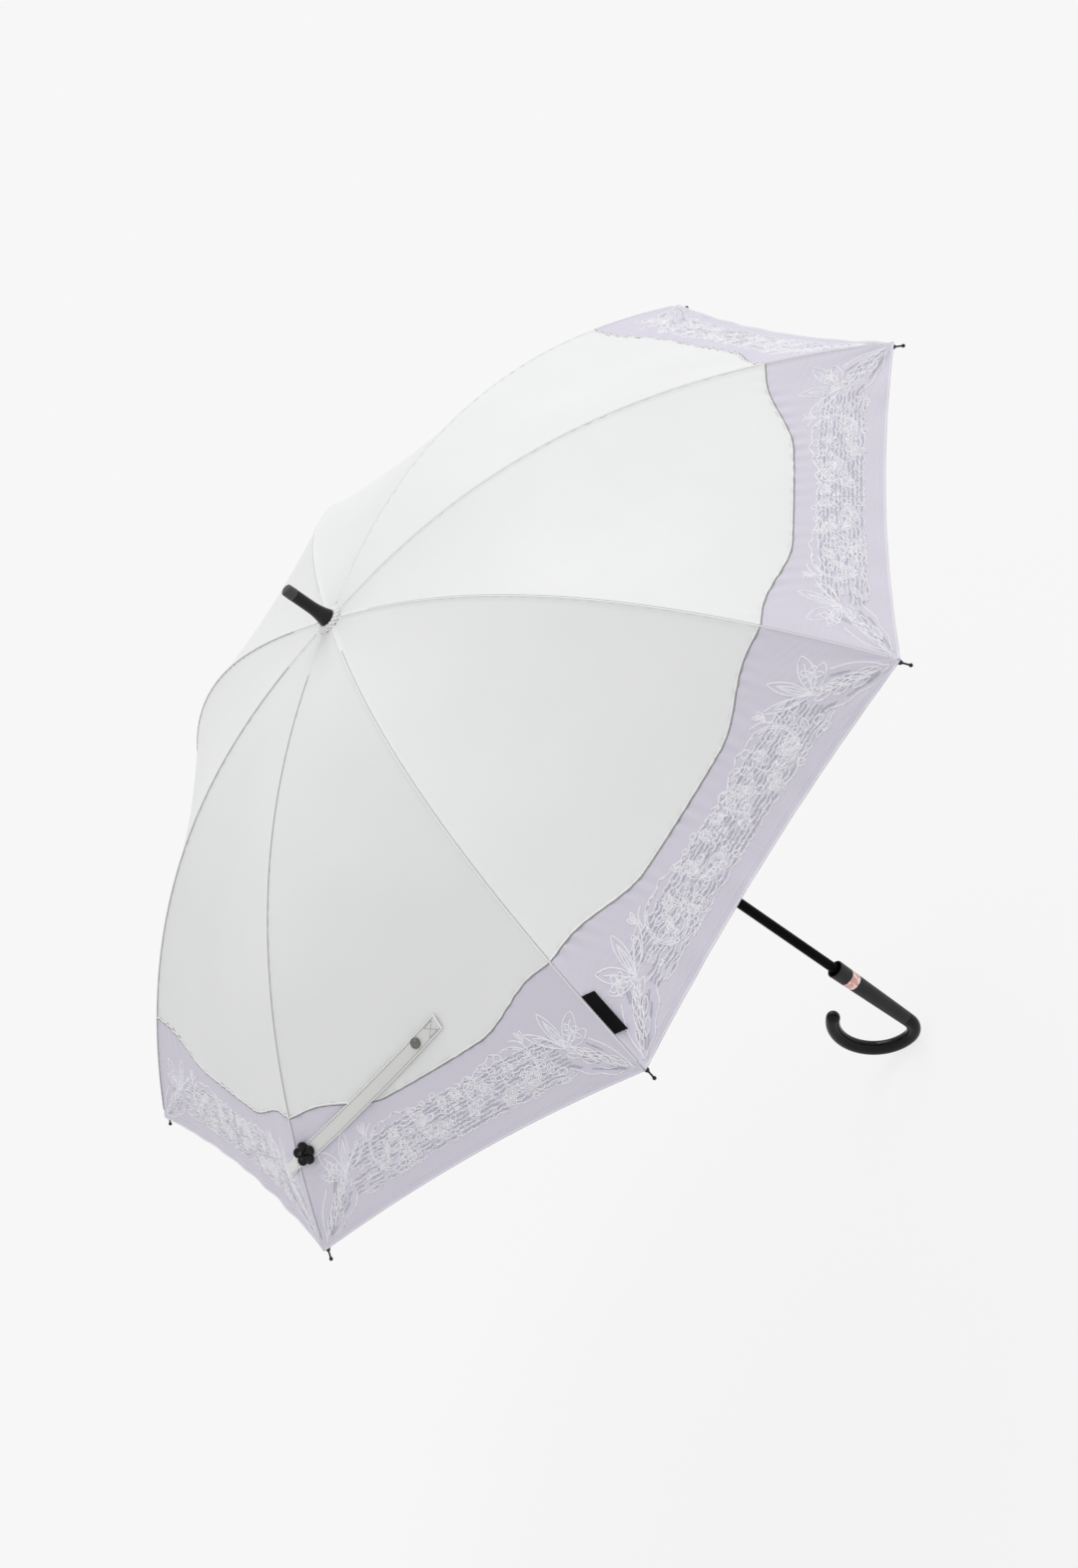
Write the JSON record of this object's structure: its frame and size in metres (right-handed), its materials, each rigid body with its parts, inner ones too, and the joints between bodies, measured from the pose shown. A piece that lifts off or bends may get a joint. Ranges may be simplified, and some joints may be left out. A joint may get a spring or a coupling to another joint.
{
  "type": "parasol",
  "caption": "Open long parasol with a white and lavender domed canopy, a folding frame, a slim black shaft, a ferrule with a cloth rosette, a tie strap and a J-shaped grip.",
  "frame": {"origin": "on the shaft's axis, level with the lowest point of the hooked grip", "axes": "+Z along the shaft towards the ferrule, +X along the first rib"},
  "size_m": [0.889, 0.889, 0.7429],
  "materials": {
    "shaft_paint": "satin black painted steel tube",
    "black_plastic": "moulded black plastic",
    "ferrule_cap_grey": "worn dark grey end cap",
    "rosette_cloth": "gathered white cloth",
    "steel": "bright steel wire and spring leaf",
    "rib_steel": "black painted steel rod",
    "grip_satin": "satin dark grey",
    "band_print": "pink and silver plain printed band",
    "hook_gloss": "glossy black",
    "canopy_white": "coated white cloth with a silvery sheen",
    "canopy_lavender": "pale lavender cloth",
    "strap_satin": "light grey satin ribbon with white edges",
    "snap_steel": "dark nickel",
    "button_gloss": "glossy black",
    "label_cloth": "black woven ribbon"
  },
  "bodies": {
    "root": {"shaft": "shaft_paint", "ferrule": "black_plastic", "ferrule_cap": "ferrule_cap_grey", "rosette": "rosette_cloth", "crown_notch": "black_plastic", "crown_wire": "steel", "stop_ring": "steel", "grip_sleeve": "grip_satin", "grip_band": "band_print", "hook": "hook_gloss"},
    "runner": {"runner": "black_plastic", "runner_wire": "steel"},
    "rib_1": {"rib_1": "rib_steel", "rib_tip_1": "black_plastic"},
    "rib_2": {"rib_2": "rib_steel", "rib_tip_2": "black_plastic", "flower_button": "button_gloss"},
    "rib_3": {"rib_3": "rib_steel", "rib_tip_3": "black_plastic", "label": "label_cloth"},
    "rib_4": {"rib_4": "rib_steel", "rib_tip_4": "black_plastic"},
    "rib_5": {"rib_5": "rib_steel", "rib_tip_5": "black_plastic"},
    "rib_6": {"rib_6": "rib_steel", "rib_tip_6": "black_plastic"},
    "rib_7": {"rib_7": "rib_steel", "rib_tip_7": "black_plastic"},
    "rib_8": {"rib_8": "rib_steel", "rib_tip_8": "black_plastic"},
    "stretcher_1": {"stretcher_1": "rib_steel"},
    "stretcher_2": {"stretcher_2": "rib_steel"},
    "stretcher_3": {"stretcher_3": "rib_steel"},
    "stretcher_4": {"stretcher_4": "rib_steel"},
    "stretcher_5": {"stretcher_5": "rib_steel"},
    "stretcher_6": {"stretcher_6": "rib_steel"},
    "stretcher_7": {"stretcher_7": "rib_steel"},
    "stretcher_8": {"stretcher_8": "rib_steel"},
    "panel_1": {"panel_1": "canopy_white"},
    "border_1": {"border_1": "canopy_lavender"},
    "panel_2": {"panel_2": "canopy_white"},
    "border_2": {"border_2": "canopy_lavender"},
    "panel_3": {"panel_3": "canopy_white"},
    "border_3": {"border_3": "canopy_lavender"},
    "panel_4": {"panel_4": "canopy_white"},
    "border_4": {"border_4": "canopy_lavender"},
    "panel_5": {"panel_5": "canopy_white"},
    "border_5": {"border_5": "canopy_lavender"},
    "panel_6": {"panel_6": "canopy_white"},
    "border_6": {"border_6": "canopy_lavender"},
    "panel_7": {"panel_7": "canopy_white"},
    "border_7": {"border_7": "canopy_lavender"},
    "panel_8": {"panel_8": "canopy_white"},
    "border_8": {"border_8": "canopy_lavender"},
    "strap": {"strap": "strap_satin", "strap_snap": "snap_steel"},
    "top_catch": {"top_catch": "steel"},
    "lower_catch": {"lower_catch": "steel"}
  },
  "joints": [
    {"name": "runner_slide", "type": "slide", "parent": "root", "child": "runner", "axis": [0, 0, -1], "range_m": [0, 0.23604]},
    {"name": "rib_1_hinge", "type": "hinge", "parent": "root", "child": "rib_1", "pos_m": [0.0095, 0, 0.6923], "axis": [0, 1, 0], "range_deg": [0, 65.33]},
    {"name": "rib_2_hinge", "type": "hinge", "parent": "root", "child": "rib_2", "pos_m": [0.00672, 0.00672, 0.6923], "axis": [-0.7071, 0.7071, 0], "range_deg": [0, 65.33]},
    {"name": "rib_3_hinge", "type": "hinge", "parent": "root", "child": "rib_3", "pos_m": [0, 0.0095, 0.6923], "axis": [-1, 0, 0], "range_deg": [0, 65.33]},
    {"name": "rib_4_hinge", "type": "hinge", "parent": "root", "child": "rib_4", "pos_m": [-0.00672, 0.00672, 0.6923], "axis": [-0.7071, -0.7071, 0], "range_deg": [0, 65.33]},
    {"name": "rib_5_hinge", "type": "hinge", "parent": "root", "child": "rib_5", "pos_m": [-0.0095, 0, 0.6923], "axis": [0, -1, 0], "range_deg": [0, 65.33]},
    {"name": "rib_6_hinge", "type": "hinge", "parent": "root", "child": "rib_6", "pos_m": [-0.00672, -0.00672, 0.6923], "axis": [0.7071, -0.7071, 0], "range_deg": [0, 65.33]},
    {"name": "rib_7_hinge", "type": "hinge", "parent": "root", "child": "rib_7", "pos_m": [0, -0.0095, 0.6923], "axis": [1, 0, 0], "range_deg": [0, 65.33]},
    {"name": "rib_8_hinge", "type": "hinge", "parent": "root", "child": "rib_8", "pos_m": [0.00672, -0.00672, 0.6923], "axis": [0.7071, 0.7071, 0], "range_deg": [0, 65.33]},
    {"name": "stretcher_1_hinge", "type": "hinge", "parent": "rib_1", "child": "stretcher_1", "pos_m": [0.198, 0, 0.66415], "axis": [0, 1, 0], "range_deg": [-102.75, 0]},
    {"name": "stretcher_2_hinge", "type": "hinge", "parent": "rib_2", "child": "stretcher_2", "pos_m": [0.14001, 0.14001, 0.66415], "axis": [-0.7071, 0.7071, 0], "range_deg": [-102.75, 0]},
    {"name": "stretcher_3_hinge", "type": "hinge", "parent": "rib_3", "child": "stretcher_3", "pos_m": [0, 0.198, 0.66415], "axis": [-1, 0, 0], "range_deg": [-102.75, 0]},
    {"name": "stretcher_4_hinge", "type": "hinge", "parent": "rib_4", "child": "stretcher_4", "pos_m": [-0.14001, 0.14001, 0.66415], "axis": [-0.7071, -0.7071, 0], "range_deg": [-102.75, 0]},
    {"name": "stretcher_5_hinge", "type": "hinge", "parent": "rib_5", "child": "stretcher_5", "pos_m": [-0.198, 0, 0.66415], "axis": [0, -1, 0], "range_deg": [-102.75, 0]},
    {"name": "stretcher_6_hinge", "type": "hinge", "parent": "rib_6", "child": "stretcher_6", "pos_m": [-0.14001, -0.14001, 0.66415], "axis": [0.7071, -0.7071, 0], "range_deg": [-102.75, 0]},
    {"name": "stretcher_7_hinge", "type": "hinge", "parent": "rib_7", "child": "stretcher_7", "pos_m": [0, -0.198, 0.66415], "axis": [1, 0, 0], "range_deg": [-102.75, 0]},
    {"name": "stretcher_8_hinge", "type": "hinge", "parent": "rib_8", "child": "stretcher_8", "pos_m": [0.14001, -0.14001, 0.66415], "axis": [0.7071, 0.7071, 0], "range_deg": [-102.75, 0]},
    {"name": "panel_1_fold", "type": "hinge", "parent": "rib_1", "child": "panel_1", "pos_m": [0.0095, 0.00189, 0.6923], "axis": [-0.4763, -0.8246, -0.3053], "range_deg": [0, 29.38], "deforming": ["panel_1"]},
    {"name": "border_1_fold", "type": "hinge", "parent": "rib_2", "child": "border_1", "pos_m": [0.00805, 0.00538, 0.6923], "axis": [0.9199, -0.2462, 0.3053], "range_deg": [0, 29.38], "deforming": ["border_1"]},
    {"name": "panel_2_fold", "type": "hinge", "parent": "rib_2", "child": "panel_2", "pos_m": [0.00538, 0.00805, 0.6923], "axis": [0.2462, -0.9199, -0.3053], "range_deg": [0, 29.38], "deforming": ["panel_2"]},
    {"name": "border_2_fold", "type": "hinge", "parent": "rib_3", "child": "border_2", "pos_m": [0.00189, 0.0095, 0.6923], "axis": [0.8246, 0.4763, 0.3053], "range_deg": [0, 29.38], "deforming": ["border_2"]},
    {"name": "panel_3_fold", "type": "hinge", "parent": "rib_3", "child": "panel_3", "pos_m": [-0.00189, 0.0095, 0.6923], "axis": [0.8246, -0.4763, -0.3053], "range_deg": [0, 29.38], "deforming": ["panel_3"]},
    {"name": "border_3_fold", "type": "hinge", "parent": "rib_4", "child": "border_3", "pos_m": [-0.00538, 0.00805, 0.6923], "axis": [0.2462, 0.9199, 0.3053], "range_deg": [0, 29.38], "deforming": ["border_3"]},
    {"name": "panel_4_fold", "type": "hinge", "parent": "rib_4", "child": "panel_4", "pos_m": [-0.00805, 0.00538, 0.6923], "axis": [0.9199, 0.2462, -0.3053], "range_deg": [0, 29.38], "deforming": ["panel_4"]},
    {"name": "border_4_fold", "type": "hinge", "parent": "rib_5", "child": "border_4", "pos_m": [-0.0095, 0.00189, 0.6923], "axis": [-0.4763, 0.8246, 0.3053], "range_deg": [0, 29.38], "deforming": ["border_4"]},
    {"name": "panel_5_fold", "type": "hinge", "parent": "rib_5", "child": "panel_5", "pos_m": [-0.0095, -0.00189, 0.6923], "axis": [0.4763, 0.8246, -0.3053], "range_deg": [0, 29.38], "deforming": ["panel_5"]},
    {"name": "border_5_fold", "type": "hinge", "parent": "rib_6", "child": "border_5", "pos_m": [-0.00805, -0.00538, 0.6923], "axis": [-0.9199, 0.2462, 0.3053], "range_deg": [0, 29.38], "deforming": ["border_5"]},
    {"name": "panel_6_fold", "type": "hinge", "parent": "rib_6", "child": "panel_6", "pos_m": [-0.00538, -0.00805, 0.6923], "axis": [-0.2462, 0.9199, -0.3053], "range_deg": [0, 29.38], "deforming": ["panel_6"]},
    {"name": "border_6_fold", "type": "hinge", "parent": "rib_7", "child": "border_6", "pos_m": [-0.00189, -0.0095, 0.6923], "axis": [-0.8246, -0.4763, 0.3053], "range_deg": [0, 29.38], "deforming": ["border_6"]},
    {"name": "panel_7_fold", "type": "hinge", "parent": "rib_7", "child": "panel_7", "pos_m": [0.00189, -0.0095, 0.6923], "axis": [-0.8246, 0.4763, -0.3053], "range_deg": [0, 29.38], "deforming": ["panel_7"]},
    {"name": "border_7_fold", "type": "hinge", "parent": "rib_8", "child": "border_7", "pos_m": [0.00538, -0.00805, 0.6923], "axis": [-0.2462, -0.9199, 0.3053], "range_deg": [0, 29.38], "deforming": ["border_7"]},
    {"name": "panel_8_fold", "type": "hinge", "parent": "rib_8", "child": "panel_8", "pos_m": [0.00805, -0.00538, 0.6923], "axis": [-0.9199, -0.2462, -0.3053], "range_deg": [0, 29.38], "deforming": ["panel_8"]},
    {"name": "border_8_fold", "type": "hinge", "parent": "rib_1", "child": "border_8", "pos_m": [0.0095, -0.00189, 0.6923], "axis": [0.4763, -0.8246, 0.3053], "range_deg": [0, 29.38], "deforming": ["border_8"]},
    {"name": "strap_fold", "type": "hinge", "parent": "rib_2", "child": "strap", "pos_m": [0.27549, 0.27549, 0.54949], "axis": [0.7701, 0.4529, -0.4492], "range_deg": [0, 87.79], "deforming": ["strap"]},
    {"name": "top_catch_press", "type": "hinge", "parent": "root", "child": "top_catch", "pos_m": [0.00073, -0.00176, 0.4561], "axis": [0.9239, 0.3827, 0], "range_deg": [0, 4.5], "stiffness_Nm_per_rad": 0.5},
    {"name": "lower_catch_press", "type": "hinge", "parent": "root", "child": "lower_catch", "pos_m": [0.00073, -0.00176, 0.2141], "axis": [0.9239, 0.3827, 0], "range_deg": [0, 4.5], "stiffness_Nm_per_rad": 0.5}
  ],
  "couplings": [
    {"joint": "rib_1_hinge", "follows": "runner_slide", "rad_per_m": 4.8294},
    {"joint": "rib_2_hinge", "follows": "runner_slide", "rad_per_m": 4.8294},
    {"joint": "rib_3_hinge", "follows": "runner_slide", "rad_per_m": 4.8294},
    {"joint": "rib_4_hinge", "follows": "runner_slide", "rad_per_m": 4.8294},
    {"joint": "rib_5_hinge", "follows": "runner_slide", "rad_per_m": 4.8294},
    {"joint": "rib_6_hinge", "follows": "runner_slide", "rad_per_m": 4.8294},
    {"joint": "rib_7_hinge", "follows": "runner_slide", "rad_per_m": 4.8294},
    {"joint": "rib_8_hinge", "follows": "runner_slide", "rad_per_m": 4.8294},
    {"joint": "stretcher_1_hinge", "follows": "runner_slide", "rad_per_m": -7.5963},
    {"joint": "stretcher_2_hinge", "follows": "runner_slide", "rad_per_m": -7.5963},
    {"joint": "stretcher_3_hinge", "follows": "runner_slide", "rad_per_m": -7.5963},
    {"joint": "stretcher_4_hinge", "follows": "runner_slide", "rad_per_m": -7.5963},
    {"joint": "stretcher_5_hinge", "follows": "runner_slide", "rad_per_m": -7.5963},
    {"joint": "stretcher_6_hinge", "follows": "runner_slide", "rad_per_m": -7.5963},
    {"joint": "stretcher_7_hinge", "follows": "runner_slide", "rad_per_m": -7.5963},
    {"joint": "stretcher_8_hinge", "follows": "runner_slide", "rad_per_m": -7.5963},
    {"joint": "panel_1_fold", "follows": "runner_slide", "rad_per_m": 2.1707},
    {"joint": "border_1_fold", "follows": "runner_slide", "rad_per_m": 2.1707},
    {"joint": "panel_2_fold", "follows": "runner_slide", "rad_per_m": 2.1707},
    {"joint": "border_2_fold", "follows": "runner_slide", "rad_per_m": 2.1707},
    {"joint": "panel_3_fold", "follows": "runner_slide", "rad_per_m": 2.1707},
    {"joint": "border_3_fold", "follows": "runner_slide", "rad_per_m": 2.1707},
    {"joint": "panel_4_fold", "follows": "runner_slide", "rad_per_m": 2.1707},
    {"joint": "border_4_fold", "follows": "runner_slide", "rad_per_m": 2.1707},
    {"joint": "panel_5_fold", "follows": "runner_slide", "rad_per_m": 2.1707},
    {"joint": "border_5_fold", "follows": "runner_slide", "rad_per_m": 2.1707},
    {"joint": "panel_6_fold", "follows": "runner_slide", "rad_per_m": 2.1707},
    {"joint": "border_6_fold", "follows": "runner_slide", "rad_per_m": 2.1707},
    {"joint": "panel_7_fold", "follows": "runner_slide", "rad_per_m": 2.1707},
    {"joint": "border_7_fold", "follows": "runner_slide", "rad_per_m": 2.1707},
    {"joint": "panel_8_fold", "follows": "runner_slide", "rad_per_m": 2.1707},
    {"joint": "border_8_fold", "follows": "runner_slide", "rad_per_m": 2.1707},
    {"joint": "strap_fold", "follows": "runner_slide", "rad_per_m": 6.4897}
  ]
}
